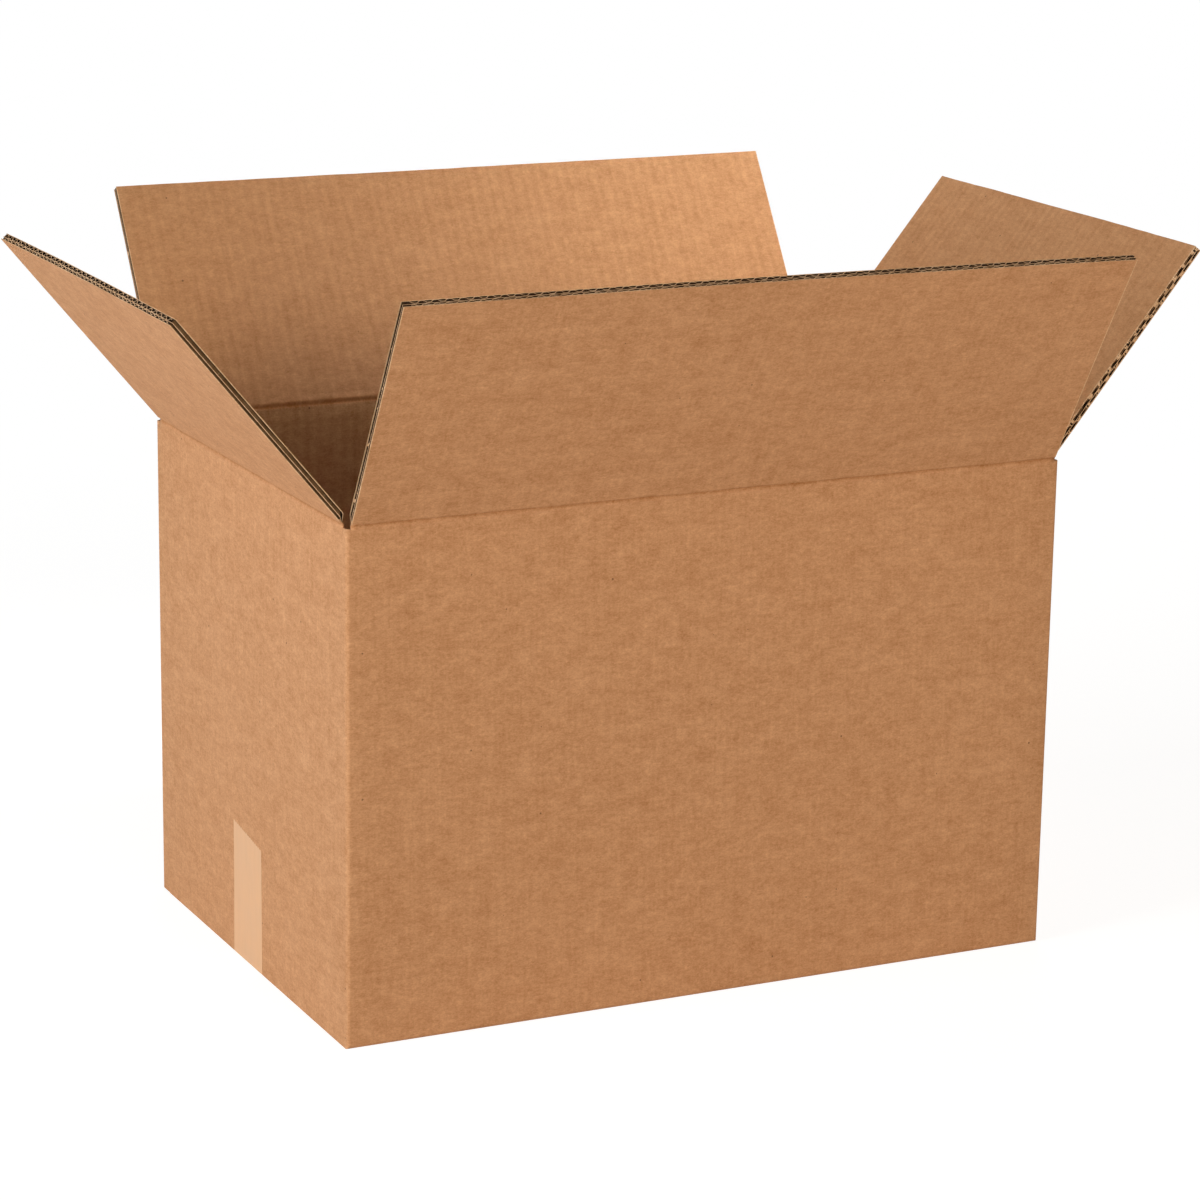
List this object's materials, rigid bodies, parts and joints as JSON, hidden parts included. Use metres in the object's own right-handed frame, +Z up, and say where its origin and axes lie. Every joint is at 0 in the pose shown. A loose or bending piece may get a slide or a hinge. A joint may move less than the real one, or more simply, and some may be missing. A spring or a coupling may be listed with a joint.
{
  "type": "open cardboard box",
  "caption": "Open corrugated shipping box of double-wall board: rectangular case with a taped bottom and free top flaps that fold shut or back.",
  "frame": {"origin": "middle of the underside, which rests on the floor", "axes": "+X along the length to the right end, +Y from the front wall to the back wall, +Z up"},
  "size_m": [0.6665, 0.4734, 0.4505],
  "materials": {
    "board": "matt brown kraft board",
    "tape": "smooth tan packing tape"
  },
  "bodies": {
    "case": {"case_body": "board", "bottom_tape": "tape"},
    "front_flap": {"front_flap": "board"},
    "back_flap": {"back_flap": "board"},
    "left_flap": {"left_flap": "board"},
    "right_flap": {"right_flap": "board"}
  },
  "joints": [
    {"name": "front_fold", "type": "hinge", "parent": "case", "child": "front_flap", "pos_m": [0, -0.1576, 0.311], "axis": [1, 0, 0], "range_deg": [-118.5, 147.5]},
    {"name": "back_fold", "type": "hinge", "parent": "case", "child": "back_flap", "pos_m": [0, 0.1576, 0.311], "axis": [-1, 0, 0], "range_deg": [-122.5, 143.5]},
    {"name": "left_fold", "type": "hinge", "parent": "case", "child": "left_flap", "pos_m": [-0.23409, 0, 0.30805], "axis": [0, -1, 0], "range_deg": [-130, 136]},
    {"name": "right_fold", "type": "hinge", "parent": "case", "child": "right_flap", "pos_m": [0.2341, 0, 0.30804], "axis": [0, 1, 0], "range_deg": [-129.5, 136.5]}
  ]
}
